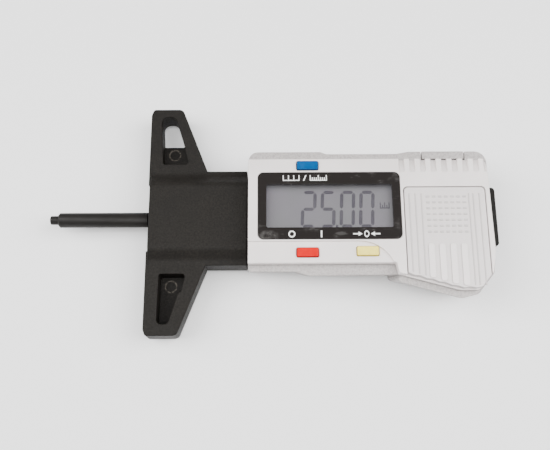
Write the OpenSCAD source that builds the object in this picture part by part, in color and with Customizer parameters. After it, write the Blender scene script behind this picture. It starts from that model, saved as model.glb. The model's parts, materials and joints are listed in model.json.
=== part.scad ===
// Digital tyre tread depth gauge, in millimetres.
// The origin is where the probe's axis crosses the measuring plane. +X runs along
// the probe towards the display head, +Y across the T base and +Z out of the display.
// The head stands at the closed end of its travel, with the probe fully out.

/* [Base] */
// Length of the T bar from ear tip to ear tip
bar_span = 60; // [57:0.5:64]
// Thickness of the T bar
bar_depth = 6; // [5.8:0.1:6.2]
// Width of an ear at its tip
ear_tip_w = 8.3; // [7.8:0.1:8.8]
// Width of an ear where it meets the neck
ear_root_w = 15.1; // [14.6:0.1:15.6]
// Width of the neck
neck_w = 25; // [24.5:0.1:25.5]
// Distance from the measuring plane to the neck's end
neck_end = 25.45; // [25.2:0.05:25.5]
// Width of the flat on the raised crown
crown_w = 17; // [15:0.5:17]
// Height of the crown above the ears
crown_rise = 2; // [1.5:0.1:2.5]

/* [Beam] */
// Width of the slide beam
beam_w = 15.5; // [15:0.1:15.6]
// Thickness of the slide beam
beam_t = 4.2; // [4:0.1:4.3]
// Distance from the measuring plane to the beam's free end
beam_end = 89; // [88:0.5:92]
// Width of the probe's slot in the beam
slot_w = 4.8; // [4.6:0.1:5.2]

/* [Probe] */
// Diameter of the probe
probe_d = 3.8; // [3.5:0.1:3.8]
// Distance from the measuring plane to the probe's tip
probe_reach = 25; // [24:0.5:26]
// Diameter of the stepped tip
tip_d = 2.3; // [1.8:0.1:2.6]
// Length of the stepped tip
tip_len = 2.1; // [1.5:0.1:3]
// Diameter of the probe's hidden rear shaft
shaft_d = 2.2; // [2:0.1:2.3]
// Travel of the head along the beam
head_travel = 25; // [24:0.5:25]

/* [Head] */
// Distance from the measuring plane to the head
head_start = 25.9; // [25.9:0.05:26.2]
// Height of the display face above the probe's axis
face_z = 9; // [9:0.1:9.3]
// Height of the shoulder around the display face
shoulder_z = 6; // [5.8:0.1:6.2]
// Depth of the head below the probe's axis
back_depth = 6; // [5.8:0.1:6.4]
// Wall thickness of the covers
wall = 1.2; // [1:0.1:1.3]
// Step down from the display face to the button panel
panel_step = 0.6; // [0.4:0.1:0.7]

/* [Display] */
// Length of the black bezel
bezel_l = 35.2; // [34:0.1:35.4]
// Width of the black bezel
bezel_w = 17.2; // [16.5:0.1:17.4]
// Length of the display window
window_l = 31.1; // [30:0.1:31.4]
// Width of the display window
window_w = 11.1; // [10:0.1:11.4]

/* [Buttons] */
// Length of a button cap
button_l = 5.2; // [4.8:0.1:5.4]
// Width of a button cap
button_w = 2.2; // [2:0.1:2.3]
// Height of a cap above the face around it
button_rise = 0.6; // [0.5:0.1:0.8]
// Travel of a button
button_travel = 0.5; // [0.3:0.1:0.5]

/* [Battery] */
// Diameter of the button cell
cell_d = 11.6; // [11.4:0.1:11.6]
// Height of the button cell
cell_h = 5.4; // [5:0.1:5.4]

/* [Screws] */
// Diameter of a screw's thread
screw_d = 1.6; // [1.4:0.1:1.7]
// Diameter of a screw's head
screw_head_d = 3; // [2.6:0.1:3.1]

/* [Hidden] */
$fn = 48;

black = [0.17, 0.165, 0.155];
silver = [0.87, 0.855, 0.845];
steel = [0.72, 0.73, 0.74];
brass = [0.80, 0.66, 0.34];
board_green = [0.09, 0.36, 0.20];

eps = 0.01;
gap = 0.1; // clearance of the sliding head on the beam
fit = 0.05; // clearance between pieces of one body
through = 20; // longer than any wall that is cut through
screw_head_t = 0.8;
sink = 0.05; // depth of a screw head below the surface

// Heights of the base and beam
bar_back = -4;
bar_top = bar_back + bar_depth;
crown_top = bar_top + crown_rise;
beam_bottom = -2.2;
beam_top = beam_bottom + beam_t;
strip_t = 0.3;
film_t = 0.1;
strip_bottom = beam_top - strip_t - film_t;
beam_root = 10;
cover_root = 9;
strip_start = 27;
strip_end = 85.5;
strip_w = 11;

// Heights in the head, from the back upwards
back_z = -back_depth;
floor_z = back_z + wall;
parting_z = 1;
board_z = beam_top + 0.3;
board_t = 1;
board_top = board_z + board_t;
bay_z = 7.2; // floor of the battery door's recess
ceiling_z = 7.5; // inside of the display face
rebate_z = 8; // ledge that the bezel sits on
tongue_top = 8;
cell_z = board_z + 0.2;

// Taper of the covers towards the back, as shrinkage per millimetre of depth
taper_x = 0.0021;
taper_y = 0.0138;

// Places along and across the head
head_end = 86.5;
top_y = 16.2;
bezel_at = [45.9, 0.95];
window_at = [45.95, 0.85];
cell_at = [74.5, -3];
unit_at = [40.65, 11.3];
power_at = [40.4, -10.85];
zero_at = [55, -10.6];
case_screw_at = [[30.5, 11], [30.5, -10.5], [82.3, 10.8], [79.5, -15]];
board_screw_at = [[47.8, 10.8], [47.8, -10.8], [66.5, 10.8]];
base_screw_at = [for (x = [13, 22], y = [-9.8, 9.8]) [x, y]];
carrier_start = 34;
carrier_end = 42;
carrier_screw_at = [for (y = [-4.5, 4.5]) [38, y]];
slot_end = carrier_end + head_travel + gap;
boss_r = 1.9;
rail_w = 1;
rib_y = 5.5; // inner side of a slide rib under the beam
pilot_r = screw_d / 2;

// Battery door and its recess
door_x0 = 64.45;
door_x1 = 84.35;
door_top_y = 5.5;
tongue_w = 0.4;
groove_w = 0.22;
bay_x0 = door_x0 - 1.1; // the solid block around the battery bay
bay_y1 = door_top_y + 2;

// Port opening in the top shoulder
port_x0 = 70;
port_x1 = 80.6;

// A corner [x, y, radius] between corners a and b, turned into an arc
function corner_arc(a, p, b, steps = 6) =
    let (
        c = [p.x, p.y],
        u = unit([a.x, a.y] - c),
        v = unit([b.x, b.y] - c),
        half = acos(max(-1, min(1, u * v))) / 2,
        centre = c + unit(u + v) * p.z / sin(half),
        s = c + u * p.z / tan(half) - centre,
        e = c + v * p.z / tan(half) - centre,
        a0 = atan2(s.y, s.x),
        sweep = (atan2(e.y, e.x) - a0 + 540) % 360 - 180
    )
    p.z <= 0 ? [c] : [for (i = [0:steps]) let (t = a0 + sweep * i / steps) centre + p.z * [cos(t), sin(t)]];

function unit(v) = v / norm(v);

// An outline given as corners with a radius each
function rounded(k) = [
    for (i = [0:len(k) - 1])
        each corner_arc(k[(i + len(k) - 1) % len(k)], k[i], k[(i + 1) % len(k)])
];

// Corners of a rectangle of size [l, w] centred at a place
function box_corners(at, l, w, r) = [
    for (s = [[-1, -1], [1, -1], [1, 1], [-1, 1]]) [at.x + s.x * l / 2, at.y + s.y * w / 2, r]
];

module prism(corners, z0, z1) {
    translate([0, 0, z0]) linear_extrude(z1 - z0) polygon(rounded(corners));
}

module pad(at, l, w, r, z0, z1) {
    prism(box_corners(at, l, w, r), z0, z1);
}

module block(x0, x1, y0, y1, z0, z1) {
    translate([x0, y0, z0]) cube([x1 - x0, y1 - y0, z1 - z0]);
}

module rod_z(at, r, z0, z1) {
    translate([at.x, at.y, z0]) cylinder(r = r, h = z1 - z0);
}

// A cross-section in Y and Z, run along X
module along_x(corners, x0, x1) {
    translate([x0, 0, 0]) rotate([90, 0, 90]) linear_extrude(x1 - x0) polygon(rounded(corners));
}

// Screws that enter from the back: head, shank and a cross recess
module back_screws(places, head_z, tip_z) {
    cross = [2, 0.4, 0.5];
    for (at = places) difference() {
        union() {
            rod_z(at, screw_head_d / 2, head_z, head_z + screw_head_t);
            rod_z(at, screw_d / 2, head_z + screw_head_t, tip_z);
        }
        for (turn = [0, 90])
            translate([at.x, at.y, head_z]) rotate(turn) cube(cross, center = true);
    }
}

// The holes that such screws need in the piece under their heads
module screw_seats(places, back) {
    for (at = places) {
        rod_z(at, screw_head_d / 2 + gap, back - 1, back + sink + screw_head_t);
        rod_z(at, screw_d / 2 + fit, back, back + through);
    }
}

// ---- Base ----

// The ears measure, so the middle of the measuring face stands back from them
relief = 0.5;
relief_half = 8.7;
bar_corners = let (
    y = bar_span / 2,
    n = neck_w / 2
) [
    [0.6, y, 0.8], [ear_tip_w, y, 1.5], [ear_root_w, n, 0], [neck_end, n, 0],
    [neck_end, -n, 0], [ear_root_w, -n, 0], [ear_tip_w, -y, 1.5], [0.6, -y, 0.8],
    [0, -y + 1.6, 0.5], [0, -relief_half, 0.2], [relief, -relief_half, 0.2],
    [relief, relief_half, 0.2], [0, relief_half, 0.2], [0, y - 1.6, 0.5]
];
upper_pocket = [
    [2.7, 27.8, 1.7], [6.4, 27.8, 1.7], [8.7, 20.4, 0.5], [10.3, 14.5, 0.9], [3.5, 14.5, 0.6], [3.1, 21, 0]
];
lower_pocket = [
    [3.5, -14.6, 0.5], [10.1, -14.6, 0.7], [9.2, -18.9, 0.2],
    [8.5, -19.3, 0.2], [6.1, -27.1, 1.2], [3.3, -27.1, 1.2]
];
pocket_floor = bar_back + 1.2;
hole_y = 21.1;

module crown() {
    edge = neck_w / 2 - fit;
    foot = crown_w / 2 + 2.8;
    soft = 2.8;
    corners = [
        [-edge, bar_top - 1, 0], [-edge, bar_top, 0], [-foot, bar_top, soft], [-crown_w / 2, crown_top, soft],
        [crown_w / 2, crown_top, soft], [foot, bar_top, soft], [edge, bar_top, 0], [edge, bar_top - 1, 0]
    ];
    along_x(corners, relief + 0.1, neck_end);
}

module base_foot() {
    ring = 1.45;
    color(black) difference() {
        union() {
            prism(bar_corners, bar_back, bar_top);
            crown();
        }
        // The probe's guide bore, and the beam's pocket from the back
        translate([-1, 0, 0]) rotate([0, 90, 0]) cylinder(d = probe_d + gap, h = neck_end);
        block(beam_root, neck_end + 1, -beam_w / 2 - fit, beam_w / 2 + fit, bar_back - 1, beam_top + fit);
        block(cover_root, neck_end + 1, -neck_w / 2 + 0.9, neck_w / 2 - 0.9, bar_back - 1, beam_bottom);
        for (at = base_screw_at) rod_z(at, pilot_r, beam_bottom - 1, bar_top - 0.6);
        // Ear pockets: the upper one opens right through as a hanging hole
        prism(upper_pocket, pocket_floor, bar_top + 1);
        intersection() {
            prism(upper_pocket, bar_back - 1, bar_top + 1);
            block(0, ear_root_w, hole_y, bar_span / 2, bar_back - 1, bar_top + 1);
        }
        prism(lower_pocket, pocket_floor, bar_top + 1);
        // Ejector rings on the pocket floors
        for (at = [[5.9, 18.8], [6, -16.9]]) difference() {
            rod_z(at, ring, pocket_floor - 0.15, pocket_floor + 1);
            rod_z(at, ring - 0.3, pocket_floor - 1, pocket_floor + 2);
        }
    }
}

module base_back_cover() {
    half = neck_w / 2 - 0.9 - fit;
    root = cover_root + fit;
    corners = [[root, -half, 0.4], [neck_end, -half, 0], [neck_end, half, 0], [root, half, 0.4]];
    color(black) difference() {
        prism(corners, bar_back, beam_bottom);
        screw_seats(base_screw_at, bar_back);
    }
}

module base_screws() {
    color(steel) back_screws(base_screw_at, bar_back + sink, bar_top - 0.8);
}

module slide_beam() {
    y = beam_w / 2;
    corners = [[beam_root, -y, 0], [beam_end, -y, 0.9], [beam_end, y, 0.9], [beam_root, y, 0]];
    color(black) difference() {
        prism(corners, beam_bottom, beam_top);
        block(beam_root - 1, slot_end, -slot_w / 2, slot_w / 2, beam_bottom - 1, beam_top + 1);
        block(strip_start, strip_end, -strip_w / 2, strip_w / 2, strip_bottom, beam_top + 1);
    }
}

module strip_layer(z0, z1) {
    y = strip_w / 2 - fit;
    block(strip_start + fit, strip_end - fit, -y, y, z0, z1);
}

module scale_strip() {
    color(board_green) strip_layer(strip_bottom, beam_top - film_t);
}

module scale_film() {
    color([0.82, 0.82, 0.80]) strip_layer(beam_top - film_t, beam_top);
}

// ---- Head: outlines ----

// Outline at the shoulder, with the waist on both sides and the bulge under the battery door
shoulder_corners = [
    [head_start, top_y, 2.3], [44.2, top_y, 2], [45.6, top_y - 0.6, 2], [63.4, top_y - 0.6, 3],
    [66.6, top_y, 3], [head_end - 0.2, top_y, 3], [head_end + 0.2, -10.5, 4], [86, -15.6, 1.5],
    [81.7, -20.8, 1.2], [77.5, -21.9, 3], [62.5, -17.7, 1.2], [62.5, -16.15, 0], [40.6, -16.15, 2],
    [37.6, -15.1, 2], [head_start, -15.1, 0.6]
];
// Outline of the raised display face
face_corners = [
    [head_start, 13.1, 0], [head_end - 1, 13.1, 1.5], [head_end - 0.6, -10.8, 4], [85, -16, 1.2],
    [81.6, -20, 1], [77, -20, 3], [62.3, -16, 0.6], [61.8, -13.45, 0.5], [head_start, -13.45, 0]
];
// Outline of the sunk button panel, which ends in a quarter of an ellipse
panel_outline = let (
    left = head_start - 1,
    top = -8.15,
    low = -17,
    bend = 53,
    reach = [8.9, 8.85]
) concat(
    [[left, low], [left, top]],
    [for (a = [90:-10:0]) [bend + reach.x * cos(a), low + reach.y * sin(a)]]
);

// The shoulder's outline shrunk as it is at height z
module tapered_outline(z, inset = 0) {
    k = shoulder_z - z;
    offset(delta = -inset)
        translate([head_start, 0]) scale([1 - taper_x * k, 1 - taper_y * k]) translate([-head_start, 0])
            polygon(rounded(shoulder_corners));
}

// The tapering wall of the covers between two heights
module tapered_body(z_high, z_low) {
    high = shoulder_z - z_high;
    low = shoulder_z - z_low;
    ratio = [(1 - taper_x * low) / (1 - taper_x * high), (1 - taper_y * low) / (1 - taper_y * high)];
    translate([head_start, 0, z_high]) mirror([0, 0, 1])
        linear_extrude(z_high - z_low, scale = ratio, slices = 1)
            translate([-head_start, 0]) tapered_outline(z_high);
}

// The straight cavity that fits inside the tapering wall above height z_low
module cavity(z_low, z_high, at_z) {
    translate([0, 0, z_low]) linear_extrude(z_high - z_low) tapered_outline(at_z, wall);
}

// The beam's way through both end walls of the head
module beam_channel(z0, z1) {
    y = beam_w / 2 + gap;
    block(head_start - 1, head_end + 2, -y, y, z0, z1);
}

// ---- Head: covers ----

// A pair of rails along the head into its end wall, with their inner sides at y either way
module rails(y, w, z0, z1, end) {
    for (side = [0, 1])
        mirror([0, side, 0]) block(head_start + wall - eps, end, y, y + w, z0, z1);
}

// Grooves that leave the thumb ribs along the top of the face, fading out inwards
module thumb_grooves() {
    count = 9;
    pitch = 2.66;
    first = 64.15;
    run = 3.7;
    depth = 1.15;
    groove = 1.3;
    for (i = [0:count - 1])
        translate([first + pitch * i - groove / 2, 13.2, face_z - depth])
            rotate([atan(-depth / run), 0, 0])
                translate([0, -2 * run, 0]) cube([groove, 2 * run + 1, 2 * depth]);
}

module button_hole(at, cavity_w) {
    clear = 0.15;
    pad(at, button_l + 2 * clear, button_w + 2 * clear, 0.4, ceiling_z - 1, face_z + 1);
    block(at.x - 3.6, at.x + 3.6, at.y - cavity_w / 2, at.y + cavity_w / 2, board_top + fit, ceiling_z);
}

// The door's recess, its side grooves and the round battery bay
module door_recess() {
    x0 = door_x0 - groove_w;
    x1 = door_x1 + groove_w;
    y0 = -25; // beyond the head
    y1 = door_top_y + groove_w;
    prism([[x0, y0, 0], [x1, y0, 0], [x1, y1, 1], [x0, y1, 1]], bay_z, face_z + 1);
    block(x0 - tongue_w, x1 + tongue_w, y0, y1, bay_z, tongue_top + gap);
    rod_z(cell_at, cell_d / 2 + 0.25, parting_z, bay_z + 1);
}

module port_opening() {
    x0 = port_x0 - groove_w;
    x1 = port_x1 + groove_w;
    block(x0, x1, 11, top_y + 1, board_top + 0.25, shoulder_z + eps);
}

module front_cover() {
    display_y = bezel_w / 2 - 1;
    display_x = bezel_l / 2 - 1;
    color(silver) difference() {
        union() {
            difference() {
                union() {
                    tapered_body(shoulder_z, parting_z);
                    prism(face_corners, shoulder_z - 1, face_z);
                }
                // Hollow inside: a wide lower part, and a narrower one under the face
                cavity(parting_z - 1, shoulder_z - wall, parting_z);
                translate([0, 0, parting_z]) linear_extrude(ceiling_z - parting_z) difference() {
                    offset(delta = -wall) polygon(rounded(face_corners));
                    translate([bay_x0, -30]) square([30, 30 + bay_y1]);
                }
            }
            // Bosses for the case screws and the circuit board, and the wall of the battery bay
            for (at = case_screw_at)
                rod_z(at, boss_r, parting_z, at.y > 0 || at.x < door_x0 ? ceiling_z + eps : bay_z - 1);
            for (at = board_screw_at) rod_z(at, 1.5, board_top, ceiling_z + eps);
            rod_z(cell_at, cell_d / 2 + 1, board_top + fit, bay_z - 1);
            // Guide rails beside the beam
            rails(beam_w / 2 + gap, rail_w, parting_z, board_z - gap, head_end - wall);
        }
        beam_channel(parting_z - 1, beam_top + gap);
        for (at = case_screw_at) rod_z(at, pilot_r, parting_z - 1, board_top + 2);
        for (at = board_screw_at) rod_z(at, pilot_r, board_top - 1, ceiling_z - 1);
        // Display opening with the bezel's ledge, the sunk button panel and the button holes
        pad(bezel_at, 2 * display_x, 2 * display_y, 0.8, ceiling_z - 1, face_z + 1);
        pad(bezel_at, bezel_l + 2 * fit, bezel_w + 2 * fit, 1.4, rebate_z, face_z + 1);
        translate([0, 0, face_z - panel_step]) linear_extrude(2) polygon(panel_outline);
        button_hole(unit_at, button_w + 0.3);
        button_hole(power_at, button_w + 0.3);
        button_hole(zero_at, button_w + 0.3);
        door_recess();
        thumb_grooves();
        port_opening();
        // Room for the plus contact beside the cell
        block(cell_at.x + cell_d / 2, 84.2, cell_at.y - 2.1, cell_at.y + 2.1, board_top - 1, bay_z - 1 + fit);
        friction_spring_room();
    }
}

module back_cover() {
    color(silver) difference() {
        union() {
            difference() {
                tapered_body(parting_z - fit, back_z);
                cavity(floor_z, parting_z + 1, back_z);
            }
            // Bosses for the case screws, guide rails beside the beam and slide ribs under it
            for (at = case_screw_at) rod_z(at, boss_r, floor_z - eps, parting_z - fit);
            rails(beam_w / 2 + gap, rail_w, floor_z - eps, parting_z - fit, head_end - 2 * wall);
            rails(rib_y, rail_w, floor_z - eps, beam_bottom - gap, head_end - 2 * wall);
        }
        beam_channel(beam_bottom - gap, parting_z + 1);
        carrier_room();
        screw_seats(case_screw_at, back_z);
        screw_seats(carrier_screw_at, back_z);
        pad([64, 0], 30, 18, 1.5, back_z - 1, back_z + 0.2);
        friction_spring_room();
    }
}

// ---- Head: probe ----

module probe_pin() {
    tip_x = -probe_reach;
    shoulder_x = tip_x + tip_len;
    bevel = 0.4;
    profile = [
        [0, tip_x], [tip_d / 2 - 0.2, tip_x], [tip_d / 2, tip_x + 0.2], [tip_d / 2, shoulder_x],
        [probe_d / 2 - bevel, shoulder_x], [probe_d / 2, shoulder_x + bevel], [probe_d / 2, 0],
        [shaft_d / 2, 0], [shaft_d / 2, carrier_end - 1], [0, carrier_end - 1]
    ];
    color([0.13, 0.13, 0.12]) rotate([0, 90, 0]) rotate_extrude() polygon(profile);
}

module carrier_room() {
    block(carrier_start - 2.5, carrier_end + 2.5, -6.6, 6.6, floor_z, beam_bottom);
}

// The block that holds the probe's rear end in the beam's slot, on a foot screwed to the back cover
module pin_carrier() {
    half = slot_w / 2 - 0.3;
    foot_half = 6.2;
    color(steel) difference() {
        union() {
            block(carrier_start, carrier_end, -half, half, floor_z, strip_bottom - 0.2);
            block(carrier_start - 2, carrier_end + 2, -foot_half, foot_half, floor_z, beam_bottom - 0.4);
        }
        translate([carrier_start - 1, 0, 0]) rotate([0, 90, 0])
            cylinder(d = shaft_d, h = carrier_end - carrier_start);
        for (at = carrier_screw_at) rod_z(at, pilot_r, floor_z - 1, beam_bottom);
    }
}

module carrier_screws() {
    color(steel) back_screws(carrier_screw_at, back_z + sink, beam_bottom - 0.5);
}

module case_screws() {
    color(steel) back_screws(case_screw_at, back_z + sink, board_top + 1.8);
}

// ---- Head: display ----

module display_bezel() {
    color([0.12, 0.11, 0.10]) difference() {
        pad(bezel_at, bezel_l, bezel_w, 1.4, rebate_z, face_z + 0.05);
        pad(window_at, window_l, window_w, 0.5, rebate_z - 1, face_z + 1);
    }
}

module window_lens() {
    color([0.85, 0.88, 0.90, 0.4])
        pad(window_at, window_l - 2 * fit, window_w - 2 * fit, 0.45, rebate_z + 0.2, face_z - 0.2);
}

lcd_at = [46, 0.95];
lcd_l = 32.2;
lcd_w = 14.2;
lcd_z = 5.6;
lcd_t = 1.6;

module lcd_panel() {
    color([0.57, 0.56, 0.58]) pad(lcd_at, lcd_l, lcd_w, 0.2, lcd_z, lcd_z + lcd_t);
}

module lcd_frame() {
    rim = 0.9;
    color(black) difference() {
        pad(lcd_at, lcd_l + 2 * rim, lcd_w + 2 * rim, 0.6, board_top, ceiling_z - gap);
        pad(lcd_at, lcd_l + 2 * fit, lcd_w + 2 * fit, 0.2, board_top - 1, ceiling_z + 1);
    }
}

module zebra_connectors() {
    strip = 1.8;
    color([0.80, 0.45, 0.55]) for (s = [-1, 1])
        pad([lcd_at.x, lcd_at.y + s * (lcd_w / 2 - strip / 2)], lcd_l - 1, strip, 0.1, board_top, lcd_z);
}

// ---- Head: electronics ----

module circuit_board() {
    corners = [
        [28, -12.4, 1], [62, -12.4, 0.5], [66, -14.6, 0.5], [76, -14.6, 1],
        [84, -9, 2], [84, 12.6, 1], [28, 12.6, 1]
    ];
    notch = boss_r + 0.25;
    color(board_green) difference() {
        prism(corners, board_z, board_top);
        for (at = case_screw_at) rod_z(at, notch, board_z - 1, board_top + 1);
        for (at = board_screw_at) rod_z(at, pilot_r + gap, board_z - 1, board_top + 1);
        rod_z(cell_at, cell_d / 2 + 0.3, board_z - 1, board_top + 1);
    }
}

module sensor_chip() {
    color([0.08, 0.08, 0.08]) translate([46, 1, board_top]) cylinder(r1 = 3.6, r2 = 2.4, h = 1);
}

module dome_switches() {
    color(steel) for (at = [unit_at, power_at, zero_at])
        translate([at.x, at.y, board_top]) cylinder(r1 = 1.3, r2 = 0.8, h = 0.3);
}

module board_screws() {
    color(steel) back_screws(board_screw_at, board_z - screw_head_t, ceiling_z - 1.4);
}

module port_contacts() {
    count = 4;
    pitch = 2;
    color(brass) for (i = [0:count - 1]) {
        x = (port_x0 + port_x1) / 2 + pitch * (i - (count - 1) / 2);
        block(x - 0.6, x + 0.6, 9.6, 12.6, board_top, board_top + 0.2);
    }
}

// ---- Head: battery ----

module battery() {
    rim = 0.4;
    r = cell_d / 2;
    profile = [
        [0, 0], [r - 1.2, 0], [r - 1.2, 0.25], [r - 0.4, 0.5], [r, 0.9],
        [r, cell_h - rim], [r - rim, cell_h], [0, cell_h]
    ];
    color(steel) translate([cell_at.x, cell_at.y, cell_z]) rotate_extrude() polygon(profile);
}

module contact_minus() {
    half = cell_d / 2 - 1.3;
    color(steel) difference() {
        block(cell_at.x - half, cell_at.x + half, cell_at.y - 1.6, cell_at.y + 1.6, cell_z - 0.15, cell_z);
        rod_z(cell_at, 0.6, cell_z - 1, cell_z + 1);
    }
}

// A strip that stands on the board and bears on the cell's side
module contact_plus() {
    x = cell_at.x + cell_d / 2;
    t = 0.25;
    color(steel) {
        block(x + 0.02, x + 0.02 + t, cell_at.y - 1.6, cell_at.y + 1.6, board_top + 0.2, bay_z - 1.6);
        block(x + 0.02, x + 3, cell_at.y - 1.6, cell_at.y + 1.6, board_top, board_top + 0.2);
    }
}

// ---- Head: friction spring ----

spring_x = 56;
spring_half = 6;

module friction_spring_room() {
    y = beam_w / 2;
    half = spring_half + 0.5;
    block(spring_x - half, spring_x + half, y - 0.3, y + 0.75, beam_bottom, beam_top);
}

// A bowed leaf between the covers and the beam's upper edge
module friction_spring() {
    t = 0.2;
    bow = 0.4;
    y = beam_w / 2 + 0.04;
    steps = 12;
    arc = [
        for (i = [0:steps])
            let (u = 2 * i / steps - 1)
            [spring_x + spring_half * u, y + bow * u * u]
    ];
    back = [for (i = [steps:-1:0]) arc[i] + [0, t]];
    color(steel) translate([0, 0, beam_bottom + 0.4]) linear_extrude(beam_t - 0.8) polygon(concat(arc, back));
}

module back_label() {
    color([0.25, 0.26, 0.28]) pad([64, 0], 29.8, 17.8, 1.4, back_z + 0.05, back_z + 0.2);
}

// ---- Buttons ----

// A cap with side wings that stop it in its hole, and a stem over the dome switch
module button_cap(at, top_z) {
    wing = 3.3;
    half = button_w / 2;
    pad(at, button_l, button_w, 0.35, ceiling_z - 1, top_z);
    block(at.x - wing, at.x + wing, at.y - half, at.y + half, ceiling_z - 0.9, ceiling_z - 0.1);
    rod_z(at, 0.8, board_top + 0.4 + button_travel, ceiling_z - 0.9 + eps);
}

module unit_button() {
    color([0.07, 0.51, 0.75]) button_cap(unit_at, face_z + button_rise);
}

module power_button() {
    color([0.98, 0.27, 0.14]) button_cap(power_at, face_z - panel_step + button_rise);
}

module zero_button() {
    color([0.98, 0.93, 0.67]) button_cap(zero_at, face_z - panel_step + button_rise);
}

// ---- Battery door ----

// Height of the door's lower edge at x: it runs down the bulge in small scallops
function door_edge(x, i) = max(-19.5, -15.95 - 0.28 * (x - door_x0)) - 0.3 * (i % 2);

door_scallops = 12;
door_corners = concat(
    [[door_x0, door_top_y, 1], [door_x1, door_top_y, 1], [door_x1, -16.6, 0.8]],
    [
        for (i = [door_scallops:-1:0])
            let (x = door_x0 + (82 - door_x0) * i / door_scallops)
            [x, door_edge(x, i), 0]
    ]
);

module door_relief() {
    line_t = 0.16;
    // Fine upright lines at both sides
    for (x = [65.6, 67.1, 68.6, 80.3, 81.4, 82.9])
        block(x - 0.15, x + 0.15, door_edge(x, 0) + 0.3, door_top_y - 1.6, face_z - 0.2, face_z + line_t);
    // A field of small grip bars
    for (i = [0:6], j = [0:6])
        translate([69.7 + 1.5 * i, -6.2 + 1.5 * j, face_z - 0.2]) cube([0.9, 0.5, 0.2 + line_t]);
    // Four broad ribs with rounded tops, running out over the lower edge
    for (x = [70.3, 72.95, 75.6, 78.25]) {
        foot = door_edge(x, 0) + 0.2;
        prism(box_corners([x, (foot - 8.9) / 2], 1.5, -8.9 - foot, 0.6), face_z - 0.2, face_z + 0.3);
    }
}

module battery_door() {
    cell_half = cell_d / 2 + 0.6;
    color(silver) difference() {
        union() {
            prism(door_corners, bay_z + gap, face_z);
            for (x = [door_x0 - tongue_w, door_x1 - eps])
                block(x, x + tongue_w + eps, -14, door_top_y - 1, bay_z + gap, tongue_top);
            door_relief();
        }
        // Way for the cell, which stands above the recess floor as the door slides over it
        block(cell_at.x - cell_half, cell_at.x + cell_half, cell_at.y - cell_half, door_top_y + 1,
            bay_z, cell_z + cell_h + 0.15);
    }
}

// ---- Port cover ----

module port_cover() {
    low = board_top + 0.4;
    out_high = top_y + 0.15;
    out_low = out_high - (shoulder_z - low) * taper_y * top_y;
    inner = 14.1; // leaves a seam beside the face
    skin = [
        [inner, low, 0], [out_low, low, 0.4], [out_high, shoulder_z + 0.2, 0.5], [inner, shoulder_z + 0.2, 0]
    ];
    color([0.80, 0.79, 0.77]) {
        along_x(skin, port_x0, port_x1);
        block(port_x0 + 0.6, port_x1 - 0.6, 11.4, inner + eps, low, shoulder_z - 1.5);
    }
}

base_foot();
base_back_cover();
base_screws();
slide_beam();
scale_strip();
scale_film();
front_cover();
back_cover();
display_bezel();
window_lens();
lcd_panel();
lcd_frame();
zebra_connectors();
circuit_board();
sensor_chip();
dome_switches();
battery();
contact_plus();
contact_minus();
probe_pin();
pin_carrier();
carrier_screws();
case_screws();
board_screws();
friction_spring();
port_contacts();
back_label();
unit_button();
power_button();
zero_button();
battery_door();
port_cover();
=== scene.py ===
import json
import math

import bmesh
import bpy
from mathutils import Euler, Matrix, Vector
from mathutils.bvhtree import BVHTree


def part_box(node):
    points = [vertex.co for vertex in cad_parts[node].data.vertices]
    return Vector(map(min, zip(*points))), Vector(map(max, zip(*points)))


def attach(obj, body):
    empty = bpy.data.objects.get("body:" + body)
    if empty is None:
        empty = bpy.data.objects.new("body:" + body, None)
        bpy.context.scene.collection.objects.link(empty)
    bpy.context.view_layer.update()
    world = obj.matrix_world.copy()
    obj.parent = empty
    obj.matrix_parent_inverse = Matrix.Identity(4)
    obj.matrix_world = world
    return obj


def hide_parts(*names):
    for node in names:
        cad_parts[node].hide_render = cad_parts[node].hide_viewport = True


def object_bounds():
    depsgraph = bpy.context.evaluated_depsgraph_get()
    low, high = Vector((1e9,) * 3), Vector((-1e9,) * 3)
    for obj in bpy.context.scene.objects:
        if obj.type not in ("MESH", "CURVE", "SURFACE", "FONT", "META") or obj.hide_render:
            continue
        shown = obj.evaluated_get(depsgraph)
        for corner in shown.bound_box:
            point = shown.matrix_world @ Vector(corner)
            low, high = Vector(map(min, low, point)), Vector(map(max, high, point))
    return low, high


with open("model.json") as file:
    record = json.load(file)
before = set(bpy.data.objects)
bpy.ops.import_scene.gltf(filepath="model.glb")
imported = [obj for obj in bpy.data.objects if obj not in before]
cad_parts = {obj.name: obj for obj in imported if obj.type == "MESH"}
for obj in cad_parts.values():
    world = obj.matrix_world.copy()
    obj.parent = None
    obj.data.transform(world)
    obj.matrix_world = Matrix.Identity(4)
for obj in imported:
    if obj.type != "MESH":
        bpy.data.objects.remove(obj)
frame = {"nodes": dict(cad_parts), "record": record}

CAD_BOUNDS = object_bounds()
MM = 0.001
BODY_OF = {
    node: body
    for body, nodes in frame["record"]["behaviour"]["bodies"].items()
    for node in nodes
}


def top_of(node):
    """The height of a node's highest point."""
    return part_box(node)[1][2]


# ---- Materials ----

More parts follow.
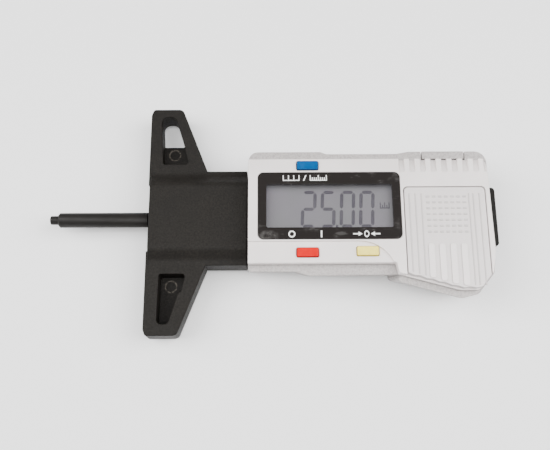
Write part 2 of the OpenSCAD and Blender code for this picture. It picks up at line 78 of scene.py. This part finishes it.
class Material:
    """A node material with a Principled shader, built up by short calls."""

    def __init__(self, name, colour, roughness=0.5, metallic=0.0, **sockets):
        self.data = bpy.data.materials.new(name)
        self.data.use_nodes = True
        self.nodes = self.data.node_tree.nodes
        self.links = self.data.node_tree.links
        self.shader = self.nodes["Principled BSDF"]
        self.shader.inputs["Base Color"].default_value = (*colour, 1)
        self.shader.inputs["Roughness"].default_value = roughness
        self.shader.inputs["Metallic"].default_value = metallic
        for socket, value in sockets.items():
            self.shader.inputs[socket.replace("_", " ")].default_value = value
        self.place = self.nodes.new("ShaderNodeTexCoord").outputs["Object"]
        self.normal = None

    def node(self, kind, settings=None, **inputs):
        """A new node. An input is named, or i and its number. Sockets are linked, other values are set."""
        node = self.nodes.new(kind)
        for key, value in (settings or {}).items():
            setattr(node, key, value)
        for key, value in inputs.items():
            socket = node.inputs[int(key[1:]) if key[1:].isdigit() else key.replace("_", " ")]
            if isinstance(value, bpy.types.NodeSocket):
                self.links.new(value, socket)
            else:
                socket.default_value = value
        return node

    def math(self, operation, a, b=0.0):
        return self.node("ShaderNodeMath", {"operation": operation}, i0=a, i1=b).outputs[0]

    def plus(self, a, b):
        return self.math("ADD", a, b)

    def minus(self, a, b):
        return self.math("SUBTRACT", a, b)

    def times(self, a, b):
        return self.math("MULTIPLY", a, b)

    def axis(self, letter):
        """How far along X, Y or Z a point lies, in metres."""
        return self.node("ShaderNodeSeparateXYZ", i0=self.place).outputs[letter]

    def noise(self, size_mm, detail=3.0, roughness=0.55, stretch=(1, 1, 1)):
        """Noise whose blotches are about size_mm across. A stretch below 1 draws them out along that axis."""
        where = self.place
        if stretch != (1, 1, 1):
            scaled = self.node("ShaderNodeVectorMath", {"operation": "MULTIPLY"}, i0=where, i1=stretch)
            where = scaled.outputs[0]
        return self.node(
            "ShaderNodeTexNoise", Vector=where, Scale=1 / (size_mm * MM), Detail=detail, Roughness=roughness
        ).outputs["Fac"]

    def cells(self, size_mm, feature="F1"):
        """Distance to the nearest of seeds about size_mm apart, or to the edge between two.

        It is in parts of size_mm.
        """
        return self.node(
            "ShaderNodeTexVoronoi", {"feature": feature}, Vector=self.place, Scale=1 / (size_mm * MM)
        ).outputs["Distance"]

    def wave(self, pitch_mm):
        """A wave along X that runs from -1 to 1 and repeats every pitch_mm."""
        return self.math("SINE", self.times(self.axis("X"), 2 * math.pi / (pitch_mm * MM)))

    def span(self, value, low, high, to_low=0.0, to_high=1.0):
        """value taken from low..high to to_low..to_high, and held there outside."""
        return self.node(
            "ShaderNodeMapRange", Value=value, From_Min=low, From_Max=high, To_Min=to_low, To_Max=to_high
        ).outputs["Result"]

    def between(self, value, low, high, blur):
        """1 where value is between low and high and 0 outside, with ends that fade over blur."""
        return self.times(self.span(value, low, low + blur), self.span(value, high, high - blur))

    def mix(self, factor, a, b):
        """Colour a where factor is 0, and b where it is 1."""
        def four(c):
            return c if isinstance(c, bpy.types.NodeSocket) else (*c, 1)

        return self.node(
            "ShaderNodeMix", {"data_type": "RGBA"}, i0=factor, i6=four(a), i7=four(b)
        ).outputs[2]

    def paint(self, colour):
        self.links.new(colour, self.shader.inputs["Base Color"])

    def rough(self, value):
        self.links.new(value, self.shader.inputs["Roughness"])

    def bump(self, height, depth_mm):
        """Bumps of about depth_mm, added to those already there."""
        inputs = {"Height": height, "Distance": depth_mm * MM, "Strength": 1.0}
        if self.normal:
            inputs["Normal"] = self.normal
        self.normal = self.node("ShaderNodeBump", **inputs).outputs["Normal"]
        self.links.new(self.normal, self.shader.inputs["Normal"])
        return self


def shade(colour, factor):
    return tuple(min(1.0, c * factor) for c in colour)


def worn_ring(m, x, y, radius):
    """Where a material shows a patchy ring of that radius round x, y."""
    side = m.minus(m.axis("X"), x)
    up = m.minus(m.axis("Y"), y)
    away = m.math("SQRT", m.plus(m.times(side, side), m.times(up, up)))
    off_ring = m.math("ABSOLUTE", m.minus(away, radius))
    line = m.span(off_ring, 0.26 * MM, 0.08 * MM)
    patches = m.span(m.noise(0.7, 3, 0.7), 0.38, 0.55)
    return m.times(line, patches)


def moulded_plastic(name, colour, roughness, grain_mm, grain_depth, rings=()):
    """Grained plastic with faint flow marks, dark specks and dust, and pale ejector rings at rings."""
    m = Material(name, colour, roughness, IOR=1.5, Specular_IOR_Level=0.12)
    flow = m.noise(9, 3)
    base = m.mix(m.span(flow, 0.35, 0.65), shade(colour, 0.86), shade(colour, 1.2))
    speck = m.span(m.noise(0.45, 2, 0.7), 0.35, 0.65)
    base = m.mix(speck, shade(colour, 0.62), base)
    dust = m.span(m.noise(0.5, 2, 0.8), 0.66, 0.80)
    pale = m.times(dust, 0.22)
    for x, y, radius in rings:
        pale = m.math("MAXIMUM", pale, worn_ring(m, x, y, radius))
    # How much paler the dust is than the plastic, and the rings with it
    pale_factor = 7 if rings else 3.2
    m.paint(m.mix(pale, base, shade(colour, pale_factor)))
    m.rough(m.span(flow, 0.3, 0.7, roughness - 0.07, roughness + 0.06))
    m.bump(m.noise(2.5, 2), 0.03).bump(m.noise(grain_mm, 4, 0.65), grain_depth)
    return m


def silver_paint(name, colour, grain_depth, low_z=None, face_z=None, rib_shade_z=None):
    """Silver-painted plastic: fine flake and slight orange peel.

    From just above low_z downwards it has the coarser, darker grain of the sides. Just below face_z it
    has painted shade, as in grooves. Between the two heights of the fine rib crests it has painted shade too.
    """
    m = Material(name, colour, 0.42, 0.2, IOR=1.5)
    height = m.axis("Z")
    blotch = m.noise(14, 3)
    base = m.mix(m.span(blotch, 0.35, 0.65), shade(colour, 0.955), shade(colour, 1.03))
    flake = m.span(m.cells(0.12), 0.0, 0.6)
    base = m.mix(m.times(flake, 0.10), base, shade(colour, 0.80))
    grain = m.noise(0.35, 3, 0.7)
    if face_z is not None:
        # Painted shade: darker just below face_z, as in the grooves
        groove_shade = m.span(height, face_z - 0.15 * MM, face_z - 0.5 * MM)
        base = m.mix(m.times(groove_shade, 0.7), base, shade(colour, 0.45))
    if rib_shade_z is not None:
        # Painted shade: the crests of the fine ribs and dashes are painted darker, in place of their shadows
        crest_shade = m.between(height, *rib_shade_z, 0.02 * MM)
        base = m.mix(m.times(crest_shade, 0.55), base, shade(colour, 0.35))
    if low_z is not None:
        low = m.span(height, low_z + 0.9 * MM, low_z + 0.2 * MM)
        base = m.mix(m.times(low, 0.95), base, shade(colour, 0.50))
        speck = m.times(m.span(m.noise(0.55, 3, 0.75), 0.44, 0.62), low)
        base = m.mix(m.times(speck, 0.6), base, shade(colour, 0.27))
        grain = m.times(grain, m.plus(m.times(low, 1.8), 0.5))
    m.paint(base)
    m.rough(m.span(blotch, 0.3, 0.7, 0.38, 0.5))
    m.bump(m.noise(1.6, 2), 0.015).bump(grain, grain_depth)
    return m


def cap_plastic(name, colour):
    """Glossy button plastic with a faint moulding swirl and a fine grain."""
    m = Material(name, colour, 0.34, IOR=1.49, Specular_IOR_Level=0.14)
    swirl = m.noise(1.8, 3)
    m.paint(m.mix(m.span(swirl, 0.3, 0.7), shade(colour, 0.86), shade(colour, 1.08)))
    m.rough(m.span(swirl, 0.3, 0.7, 0.28, 0.44))
    m.bump(m.noise(0.25, 3, 0.6), 0.012)
    return m


def metal(name, colour, roughness, stretch=(1, 1, 1), metallic=1.0, specular=0.5):
    """Metal with brush lines or a fine grain, and slight tarnish."""
    m = Material(name, colour, roughness, metallic, Specular_IOR_Level=specular)
    line = m.noise(0.3, 3, 0.6, stretch)
    stain = m.noise(4, 3)
    m.paint(m.mix(m.span(stain, 0.35, 0.7), colour, shade(colour, 0.78)))
    m.rough(m.span(line, 0.3, 0.7, roughness - 0.08, roughness + 0.12))
    m.bump(line, 0.01)
    return m


def bezel_gloss():
    """Gloss black panel with smears, hair scratches and a lower left corner that is rubbed pale."""
    colour = (0.0135, 0.0115, 0.0108)
    rubbed_grey = (0.13, 0.125, 0.12)
    m = Material("bezel_gloss", colour, 0.24, IOR=1.5, Specular_IOR_Level=0.18)
    smear = m.span(m.noise(3.5, 4, 0.6, (1, 1.8, 1)), 0.56, 0.74)
    scratch = m.span(m.noise(0.5, 2, 0.5, (0.06, 1, 1)), 0.66, 0.7)
    # The rubbed corner is a patchy oval, whose middle and half sizes these are
    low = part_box("display_bezel")[0]
    middle = (low[0] + 2.4 * MM, low[1] + 0.9 * MM)
    half = (3.0 * MM, 1.5 * MM)
    from_x = m.math("DIVIDE", m.minus(m.axis("X"), middle[0]), half[0])
    from_y = m.math("DIVIDE", m.minus(m.axis("Y"), middle[1]), half[1])
    away = m.plus(m.times(from_x, from_x), m.times(from_y, from_y))
    corner = m.times(m.span(away, 1.0, 0.3), m.span(m.noise(1.3, 4, 0.7), 0.36, 0.70))
    rubbed = m.math("MAXIMUM", m.times(smear, 0.2), m.times(corner, 0.5))
    m.paint(m.mix(rubbed, colour, rubbed_grey))
    m.rough(m.plus(m.times(smear, 0.3), m.plus(m.times(scratch, 0.2), 0.14)))
    m.bump(m.noise(6, 2), 0.02)
    return m


def clear_acrylic():
    """Thin clear window: mostly see-through, with a light haze and dust."""
    m = Material("clear_acrylic", (0.28, 0.28, 0.29), 0.05, IOR=1.2)
    haze = m.span(m.noise(5, 3), 0.4, 0.75, 0.0, 0.04)
    dust = m.span(m.noise(0.3, 2, 0.8), 0.72, 0.8, 0.0, 0.12)
    alpha = m.plus(m.plus(haze, dust), 0.03)
    m.links.new(alpha, m.shader.inputs["Alpha"])
    m.rough(m.span(haze, 0.0, 0.05, 0.04, 0.12))
    return m


def lcd_glass():
    """Grey-violet liquid crystal under a fine polariser, a little uneven, with a painted shadow by its upper
    edge.
    """
    colour = (0.118, 0.113, 0.124)
    m = Material("lcd_glass", colour, 0.45, IOR=1.5, Specular_IOR_Level=0.3)
    patch = m.noise(9, 2)
    tint = m.mix(m.span(patch, 0.3, 0.7), (0.117, 0.117, 0.121), (0.121, 0.110, 0.128))
    glass = m.mix(m.times(m.cells(0.16), 0.2), tint, shade(colour, 0.8))
    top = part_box("window_lens")[1][1]
    # Painted shadow: darker towards the window's upper edge, as if its frame shaded the crystal
    edge = m.math("POWER", m.span(m.axis("Y"), top - 2.2 * MM, top), 2.0)
    m.paint(m.mix(m.times(edge, 0.8), glass, shade(colour, 0.3)))
    m.rough(m.span(patch, 0.3, 0.7, 0.38, 0.5))
    m.bump(m.noise(0.12, 2), 0.004)
    return m


def circuit_lacquer(name):
    """Green solder mask over tracks, with scattered round pads."""
    mask = (0.012, 0.10, 0.04)
    track = (0.02, 0.17, 0.07)
    pad = (0.65, 0.5, 0.22)
    m = Material(name, mask, 0.35, IOR=1.5)
    off_track = m.span(m.cells(1.6, "DISTANCE_TO_EDGE"), 0.05, 0.09)
    on_pad = m.span(m.cells(3.1), 0.16, 0.13)
    m.paint(m.mix(on_pad, m.mix(off_track, track, mask), pad))
    m.rough(m.span(m.noise(2, 3), 0.3, 0.7, 0.28, 0.42))
    m.bump(off_track, 0.02).bump(m.noise(0.2, 2), 0.006)
    return m


def scale_print():
    """The scale's film: fine bars across the beam under a clear layer, rubbed by the head."""
    light = (0.42, 0.43, 0.42)
    dark = (0.16, 0.15, 0.14)
    bar_pitch_mm = 1.27
    bar_reach = 3.6 * MM
    m = Material("scale_print", light, 0.3, IOR=1.5)
    in_row = m.span(m.math("ABSOLUTE", m.axis("Y")), bar_reach, bar_reach - 0.1 * MM)
    bars = m.times(m.span(m.wave(bar_pitch_mm), -0.1, 0.1), in_row)
    rub = m.noise(0.6, 3, 0.6, (0.05, 1, 1))
    film = m.mix(m.span(rub, 0.4, 0.7), light, shade(light, 0.8))
    m.paint(m.mix(m.times(bars, 0.8), film, dark))
    m.rough(m.span(rub, 0.3, 0.7, 0.22, 0.4))
    m.bump(rub, 0.006)
    return m


def silicone():
    """Zebra strip: pink silicone with thin dark conductive layers."""
    pink = (0.6, 0.22, 0.30)
    carbon = (0.05, 0.04, 0.05)
    layer_pitch_mm = 0.3
    m = Material("zebra_silicone", pink, 0.55)
    m.paint(m.mix(m.span(m.wave(layer_pitch_mm), 0.3, 0.6), pink, carbon))
    m.bump(m.noise(0.3, 2), 0.01)
    return m


def label_film():
    """Plain dark grey label with a lighter border line about 1 mm inside its edge."""
    low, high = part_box("back_label")
    colour = (0.06, 0.065, 0.075)
    border = (0.5, 0.5, 0.5)
    m = Material("label_film", colour, 0.4, IOR=1.5)
    insets = []
    for letter, start, end in zip("XY", low, high):
        from_middle = m.math("ABSOLUTE", m.minus(m.axis(letter), (start + end) / 2))
        insets.append(m.minus((end - start) / 2, from_middle))
    line = m.between(m.math("MINIMUM", *insets), 0.9 * MM, 1.3 * MM, 0.1 * MM)
    fibre = m.noise(1.2, 3)
    film = m.mix(m.span(fibre, 0.3, 0.7), shade(colour, 0.85), shade(colour, 1.2))
    m.paint(m.mix(line, film, border))
    m.rough(m.span(fibre, 0.3, 0.7, 0.33, 0.48))
    m.bump(m.noise(0.4, 2), 0.008)
    return m


def printed_ink():
    """Screen-printed white with slightly thin patches."""
    m = Material("printed_ink", (0.86, 0.86, 0.84), 0.5)
    thin = m.span(m.noise(0.5, 3), 0.45, 0.75)
    m.paint(m.mix(thin, (0.88, 0.88, 0.86), (0.66, 0.66, 0.64)))
    m.bump(m.noise(0.15, 2), 0.006)
    return m


def lcd_segment():
    """Liquid crystal segments: dark violet grey, a little uneven."""
    m = Material("lcd_segment", (0.028, 0.024, 0.034), 0.45, Specular_IOR_Level=0.3)
    patch = m.span(m.noise(1.5, 3), 0.3, 0.7)
    m.paint(m.mix(patch, (0.022, 0.018, 0.027), (0.036, 0.030, 0.042)))
    return m


def paper():
    """The floor: matt, pale and very slightly uneven."""
    m = Material("paper", (0.95, 0.95, 0.95), 0.9)
    m.paint(m.mix(m.noise(3, 3), (0.94, 0.94, 0.94), (0.96, 0.96, 0.96)))
    return m


# ---- Mesh helpers ----

# Points nearer than WELD are one point, and faces within LEVEL of each other become one face
WELD = 1e-6
LEVEL = math.radians(1)

# Edges that turn by SHARP or more are rounded, by at most ROOM_SHARE of the room beside them
SHARP = math.radians(32)
ROOM_SHARE = 0.4

# How far off an edge the test starts that finds whether another surface covers it
OFF_EDGE = 0.02 * MM


def new_object(name, mesh):
    piece = bpy.data.objects.new(name, mesh)
    bpy.context.scene.collection.objects.link(piece)
    return piece


def finish_piece(piece, material, node):
    """Give a piece its material, and the body of a CAD node."""
    piece.data.materials.clear()
    piece.data.materials.append(material.data)
    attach(piece, BODY_OF[node])


def assign(node, material):
    """Give a CAD node that keeps its shape another material."""
    piece = frame["nodes"][node]
    piece.data.materials.clear()
    piece.data.materials.append(material.data)


def reach_from(edge, face):
    """How far a face reaches from one of its edges, squarely to it."""
    start, end = (v.co for v in edge.verts)
    along = (end - start).normalized()
    return max((v.co - start - along * along.dot(v.co - start)).length for v in face.verts)


def weigh_edges(work, width):
    """Mark the sharp outward edges to be rounded, each by as much as the faces beside it have room for."""
    tree = BVHTree.FromBMesh(work)
    layer = work.edges.layers.float.new("bevel_weight_edge")
    for edge in work.edges:
        if not edge.is_convex or edge.calc_face_angle(0) < SHARP:
            continue
        middle = (edge.verts[0].co + edge.verts[1].co) / 2
        outward = (edge.link_faces[0].normal + edge.link_faces[1].normal).normalized()
        if tree.ray_cast(middle + outward * OFF_EDGE, outward)[0] is None:
            room = min(reach_from(edge, face) for face in edge.link_faces)
            edge[layer] = min(1, ROOM_SHARE * room / width)


def eased_copy(node, name, material, width_mm):
    """A CAD node's shape with its outward edges rounded, in place of the node."""
    mesh = frame["nodes"][node].data.copy()
    work = bmesh.new()
    work.from_mesh(mesh)
    bmesh.ops.remove_doubles(work, verts=work.verts, dist=WELD)
    bmesh.ops.dissolve_limit(
        work, angle_limit=LEVEL, verts=work.verts, edges=work.edges, use_dissolve_boundaries=False
    )
    weigh_edges(work, width_mm * MM)
    many_sided = [face for face in work.faces if len(face.verts) > 4]
    bmesh.ops.triangulate(work, faces=many_sided, quad_method="BEAUTY", ngon_method="BEAUTY")
    work.to_mesh(mesh)
    work.free()
    piece = new_object(name, mesh)
    ease = piece.modifiers.new("ease", "BEVEL")
    ease.width = width_mm * MM
    ease.segments = 3
    ease.limit_method = "WEIGHT"
    ease.use_clamp_overlap = False
    ease.loop_slide = False
    ease.harden_normals = True
    baked = bpy.data.meshes.new_from_object(piece.evaluated_get(bpy.context.evaluated_depsgraph_get()))
    piece.modifiers.clear()
    piece.data = baked
    baked.name = name
    finish_piece(piece, material, node)
    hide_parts(node)


def band(work, here, there):
    """The side faces between two closed loops with as many points each."""
    for i in range(len(here)):
        j = (i + 1) % len(here)
        work.faces.new((here[i], here[j], there[j], there[i]))


def plates(name, outlines, z, thickness, rings=()):
    """Thin flat plates on height z, from closed outlines in X and Y and from rings of two outlines."""
    work = bmesh.new()

    def loop(outline, level):
        return [work.verts.new((x, y, level)) for x, y in outline]

    for outline in outlines:
        low = loop(outline, z)
        high = loop(outline, z + thickness)
        work.faces.new(low[::-1])
        work.faces.new(high)
        band(work, low, high)
    for outer, inner in rings:
        corners = (outer, z), (outer, z + thickness), (inner, z + thickness), (inner, z)
        loops = [loop(outline, level) for outline, level in corners]
        for here, there in zip(loops, loops[1:] + loops[:1]):
            band(work, here, there)
    bmesh.ops.recalc_face_normals(work, faces=work.faces)
    mesh = bpy.data.meshes.new(name)
    work.to_mesh(mesh)
    work.free()
    return new_object(name, mesh)


# ---- Outlines of marks ----

def bar(x0, y0, x1, y1):
    return [(x0, y0), (x1, y0), (x1, y1), (x0, y1)]


def ring(cx, cy, radius, width, squash=1.0):
    """The outer and inner outlines of a ring, narrowed in X by squash."""
    steps = 28
    turns = [2 * math.pi * i / steps for i in range(steps)]
    return [
        [(cx + squash * r * math.cos(a), cy + r * math.sin(a)) for a in turns]
        for r in (radius, radius - width)
    ]


def ruler(x, y, pitch, reaches, tooth, back):
    """The outline of a ruler mark: a back along y and a tooth standing up for each of reaches."""
    outline = [(x, y), (x + (len(reaches) - 1) * pitch + tooth, y)]
    for i in reversed(range(len(reaches))):
        left = x + i * pitch
        outline += [(left + tooth, y + reaches[i]), (left, y + reaches[i])]
        if i > 0:
            outline += [(left, y + back), (left - pitch + tooth, y + back)]
    return outline


def arrow(x, y, length, height, direction):
    """The outline of an arrow along +X or -X, with its tip at x."""
    neck = x - direction * height * 0.9
    end = x - direction * length
    half, stem = height / 2, height * 0.14
    return [
        (x, y), (neck, y + half), (neck, y + stem), (end, y + stem),
        (end, y - stem), (neck, y - stem), (neck, y - half),
    ]


# ---- Camera, light and floor ----

# Place in metres, turn in degrees, and lens and sensor width in millimetres
CAMERA_PLACE = (0.0322, -0.0549, 0.1838)
CAMERA_TURN = (16.21, -0.02, -0.27)
LENS = 48.86
SENSOR = 36

# Soft boxes: X from the object's middle, then Y and Z, and sizes, all in metres, and power in watts.
# The side boxes stand that far out on both sides.
SIDE_BOX_PLACE = (0.38, 0.02, 0.42)
SIDE_BOX_SIZE = (0.34, 0.50)
SIDE_BOX_POWER = 4.3
TOP_BOX_PLACE = (0, -0.10, 0.50)
TOP_BOX_SIZE = (0.24, 0.20)
TOP_BOX_POWER = 1.6

SURROUND_STRENGTH = 0.50
FLOOR_HALF = 1.5


def camera():
    data = bpy.data.cameras.new("camera")
    data.sensor_width = SENSOR
    data.lens = LENS
    data.clip_start = 0.005
    piece = new_object("camera", data)
    piece.location = CAMERA_PLACE
    piece.rotation_euler = Euler([math.radians(a) for a in CAMERA_TURN])
    bpy.context.scene.camera = piece


def area_light(name, place, aim, size, power):
    data = bpy.data.lights.new(name, "AREA")
    data.shape = "RECTANGLE"
    data.size, data.size_y = size
    data.energy = power
    piece = new_object(name, data)
    piece.location = place
    piece.rotation_euler = (Vector(aim) - Vector(place)).to_track_quat("-Z", "Y").to_euler()


def surround():
    world = bpy.data.worlds.new("studio")
    world.use_nodes = True
    background = world.node_tree.nodes["Background"]
    background.inputs["Color"].default_value = (1, 1, 1, 1)
    background.inputs["Strength"].default_value = SURROUND_STRENGTH
    bpy.context.scene.world = world


def floor(middle_x, level):
    mesh = bpy.data.meshes.new("floor")
    left, right = middle_x - FLOOR_HALF, middle_x + FLOOR_HALF
    corners = bar(left, -FLOOR_HALF, right, FLOOR_HALF)
    mesh.from_pydata([(x, y, level) for x, y in corners], [], [(0, 1, 2, 3)])
    mesh.materials.append(paper().data)
    new_object("floor", mesh)


def studio():
    """Soft light boxes on both sides and above, and a dim surround, over a pale paper floor."""
    low, high = CAD_BOUNDS
    centre = [(a + b) / 2 for a, b in zip(low, high)]
    surround()
    x, y, z = SIDE_BOX_PLACE
    for name, side in (("left_softbox", -1), ("right_softbox", 1)):
        area_light(name, (centre[0] + side * x, y, z), centre, SIDE_BOX_SIZE, SIDE_BOX_POWER)
    x, y, z = TOP_BOX_PLACE
    area_light("top_softbox", (centre[0] + x, y, z), centre, TOP_BOX_SIZE, TOP_BOX_POWER)
    floor(centre[0], low[2])


# ---- Display ----

# Which of the segments a to g of a seven-segment digit are lit
SEGMENTS = {"0": "abcdef", "2": "abged", "5": "afgcd"}


def digit_plates(shown, x, y, width, height, stroke, slant):
    """The lit segments of one seven-segment digit whose lower left corner is at x, y."""
    gap = 0.12 * MM
    half = height / 2

    def flat(cx, cy, length):
        """A level segment, pointed at both ends."""
        h = stroke / 2
        tip = length / 2 - gap
        neck = tip - h
        return [
            (cx - tip, cy), (cx - neck, cy + h), (cx + neck, cy + h),
            (cx + tip, cy), (cx + neck, cy - h), (cx - neck, cy - h),
        ]

    def upright(cx, cy, length):
        return [(cx + (py - cy), cy + (px - cx)) for px, py in flat(cx, cy, length)]

    in_x, in_y = width - stroke, half - stroke / 2
    left, middle, right = stroke / 2, width / 2, width - stroke / 2
    low, top = stroke / 2, height - stroke / 2
    lower, upper = (half + low) / 2, (half + top) / 2
    shapes = {
        "a": flat(middle, top, in_x),
        "b": upright(right, upper, in_y),
        "c": upright(right, lower, in_y),
        "d": flat(middle, low, in_x),
        "e": upright(left, lower, in_y),
        "f": upright(left, upper, in_y),
        "g": flat(middle, half, in_x),
    }
    return [[(x + px + slant * py, y + py) for px, py in shapes[s]] for s in SEGMENTS[shown]]


def lcd_reading(ink):
    """The reading 25.00 and a small ruler mark for the unit, on the display's face."""
    low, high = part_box("window_lens")
    width, height, stroke = 3.8 * MM, 9.6 * MM, 0.85 * MM
    pitch, slant = 4.8 * MM, 0.048
    x, y = low[0] + 8.3 * MM, low[1] + 0.3 * MM
    outlines = []
    for i, shown in enumerate("2500"):
        outlines += digit_plates(shown, x + i * pitch, y, width, height, stroke, slant)
    # Point between the second and the third digit
    point = x + 2 * pitch - 0.85 * MM
    outlines.append(bar(point, y, point + 0.6 * MM, y + 0.75 * MM))
    # Unit mark: a small ruler with long and short teeth in turn
    long, short = 1.6 * MM, 0.95 * MM
    mark_x, mark_y = high[0] - 2.9 * MM, low[1] + 5.2 * MM
    reaches = [long if i % 2 == 0 else short for i in range(5)]
    outlines.append(ruler(mark_x, mark_y, 0.54 * MM, reaches, 0.26 * MM, 0.28 * MM))
    above, thickness = 0.01 * MM, 0.02 * MM
    piece = plates("lcd_reading", outlines, top_of("lcd_panel") + above, thickness)
    finish_piece(piece, ink, "lcd_panel")


def bezel_marks(ink):
    """Plain symbols by the buttons: two rulers for the units, off and on, and zero between arrows."""
    low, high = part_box("display_bezel")
    # Units: a coarse ruler and a fine ruler with a slash between them
    x, y = low[0] + 6.2 * MM, high[1] - 2.25 * MM
    tall, line = 1.45 * MM, 0.22 * MM
    fine = [tall if i % 4 == 0 else tall * 0.6 for i in range(9)]
    slash, slash_width, slash_lean = x + 5.0 * MM, 0.28 * MM, 0.6 * MM
    outlines = [
        ruler(x, y, 1.3 * MM, [tall] * 4, line, line),
        ruler(x + 6.7 * MM, y, 0.5 * MM, fine, line, line),
        [
            (slash, y), (slash + slash_width, y),
            (slash + slash_lean + slash_width, y + tall), (slash + slash_lean, y + tall),
        ],
    ]
    # Power: a ring for off and an upright bar for on. Zero: a nought between two arrows
    y, radius, stroke = low[1] + 1.25 * MM, 0.85 * MM, 0.3 * MM
    off_x, on_x, zero_x = low[0] + 8.3 * MM, low[0] + 15.5 * MM, low[0] + 26.5 * MM
    bar_half, tip_off = 0.16 * MM, 1.0 * MM
    rings = [ring(off_x, y, radius, stroke), ring(zero_x, y, radius, stroke, 0.72)]
    outlines.append(bar(on_x - bar_half, y - radius, on_x + bar_half, y + radius))
    for direction in (1, -1):
        outlines.append(arrow(zero_x - direction * tip_off, y, 2.3 * MM, 1.1 * MM, direction))
    thickness = 0.015 * MM
    piece = plates("bezel_marks", outlines, high[2], thickness, rings)
    finish_piece(piece, ink, "display_bezel")


# ---- The object ----

CASE_SILVER = (0.80, 0.745, 0.725)
DOOR_SILVER = (0.82, 0.765, 0.75)

# Where the ejector pins marked the base's pocket floors: X, Y and radius
EJECTOR_RINGS = ((5.9 * MM, 18.8 * MM, 1.45 * MM), (6.0 * MM, -16.9 * MM, 1.45 * MM))


def outer_pieces():
    """The outer nodes, each replaced by its own shape with rounded edges."""
    shoulder = top_of("port_cover")
    rib_top = top_of("battery_door")
    # The tops of the door's fine ribs lie between these heights and get painted shade there. Its plane and
    # its broad ribs' tops don't
    fine_ribs = (rib_top - 0.24 * MM, rib_top - 0.09 * MM)

    black = moulded_plastic("base_grain", (0.0120, 0.0106, 0.0090), 0.52, 0.30, 0.12, EJECTOR_RINGS)
    satin_black = moulded_plastic("satin_black", (0.010, 0.0088, 0.0076), 0.46, 0.35, 0.02)
    silver = silver_paint("case_silver", CASE_SILVER, 0.012, low_z=shoulder)
    door_silver = silver_paint("door_silver", DOOR_SILVER, 0.012, face_z=rib_top, rib_shade_z=fine_ribs)
    port_silver = silver_paint("port_silver", CASE_SILVER, 0.03, low_z=shoulder)
    blue = cap_plastic("cap_blue", (0.0, 0.062, 0.20))
    red = cap_plastic("cap_red", (0.58, 0.0, 0.0))
    yellow = cap_plastic("cap_yellow", (0.95, 0.78, 0.16))
    oxide = metal("probe_oxide", (0.010, 0.009, 0.008), 0.48, (0.15, 1, 1), metallic=0.05, specular=0.2)

    # Node, name of its piece, material, and width of the rounding in millimetres
    eased = [
        ("base_foot", "base_foot_shell", black, 0.22),
        ("base_back_cover", "base_back_plate", black, 0.15),
        ("slide_beam", "beam_bar", satin_black, 0.18),
        ("front_cover", "front_shell", silver, 0.20),
        ("back_cover", "back_shell", silver, 0.20),
        ("battery_door", "door_panel", door_silver, 0.10),
        ("port_cover", "port_plug", port_silver, 0.12),
        ("display_bezel", "bezel_frame", bezel_gloss(), 0.10),
        ("unit_button", "unit_cap", blue, 0.18),
        ("power_button", "power_cap", red, 0.18),
        ("zero_button", "zero_cap", yellow, 0.18),
        ("probe_pin", "probe_rod", oxide, 0.06),
    ]
    for node, name, material, width in eased:
        eased_copy(node, name, material, width)


def inner_finishes():
    """Materials for the nodes that keep their CAD shape."""
    spring = metal("spring_steel", (0.52, 0.51, 0.49), 0.3, (0.1, 1, 1))
    plated = metal("screw_steel", (0.42, 0.42, 0.41), 0.32)
    finishes = {
        "scale_strip": circuit_lacquer("scale_lacquer"),
        "scale_film": scale_print(),
        "window_lens": clear_acrylic(),
        "lcd_panel": lcd_glass(),
        "lcd_frame": moulded_plastic("lcd_frame_black", (0.02, 0.02, 0.02), 0.5, 0.3, 0.02),
        "zebra_connectors": silicone(),
        "circuit_board": circuit_lacquer("board_lacquer"),
        "sensor_chip": moulded_plastic("chip_epoxy", (0.012, 0.012, 0.012), 0.3, 0.4, 0.02),
        "battery": metal("bright_steel", (0.62, 0.62, 0.61), 0.25),
        "pin_carrier": metal("carrier_steel", (0.48, 0.48, 0.48), 0.38, (0.1, 1, 1)),
        "port_contacts": metal("contact_gold", (0.85, 0.62, 0.25), 0.25),
        "back_label": label_film(),
    }
    for node in ("dome_switches", "contact_plus", "contact_minus", "friction_spring"):
        finishes[node] = spring
    for node in ("carrier_screws", "case_screws", "board_screws", "base_screws"):
        finishes[node] = plated
    for node, material in finishes.items():
        assign(node, material)


camera()
studio()
outer_pieces()
inner_finishes()
lcd_reading(lcd_segment())
bezel_marks(printed_ink())
